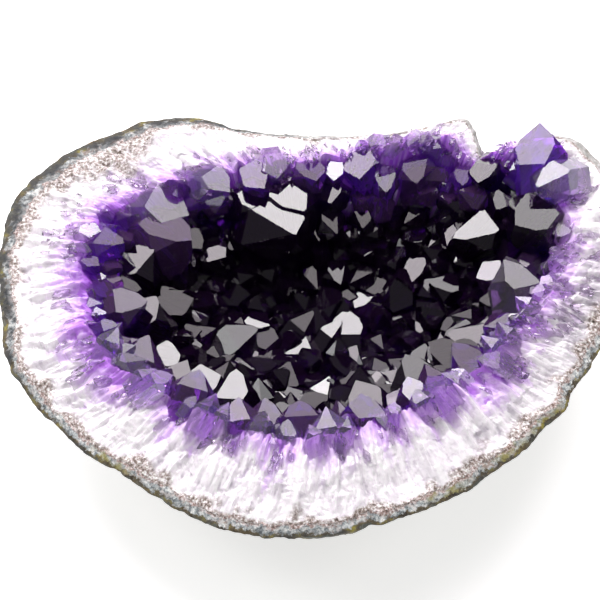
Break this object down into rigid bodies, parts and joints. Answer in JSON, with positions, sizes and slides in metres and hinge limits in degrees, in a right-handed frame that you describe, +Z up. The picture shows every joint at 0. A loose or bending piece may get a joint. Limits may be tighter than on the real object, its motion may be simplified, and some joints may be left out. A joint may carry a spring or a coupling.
{
  "type": "amethyst cluster",
  "caption": "Half of an amethyst geode: a shallow rock bowl with a broad broken quartz rim and a hollow lined with violet crystal points.",
  "frame": {"origin": "on the ground under the middle of the bounding box, in the plane of the flat foot", "axes": "+Z up out of the hollow, +X along the longest side towards the end beside the notch, +Y towards the notched side of the rim"},
  "size_m": [0.134, 0.1062, 0.0452],
  "materials": {
    "agate_rind": "rough weathered skin, grey-green and blue-grey with ochre and red-brown grains",
    "milky_quartz": "broken columnar quartz, milky white to clear, glossy chips, lavender towards the hollow",
    "amethyst": "clear violet crystal with flat glossy faces, nearly black where it is thick"
  },
  "bodies": {
    "root": {"rind": "agate_rind", "quartz_wall": "milky_quartz", "crystal_crust": "amethyst"}
  },
  "joints": []
}
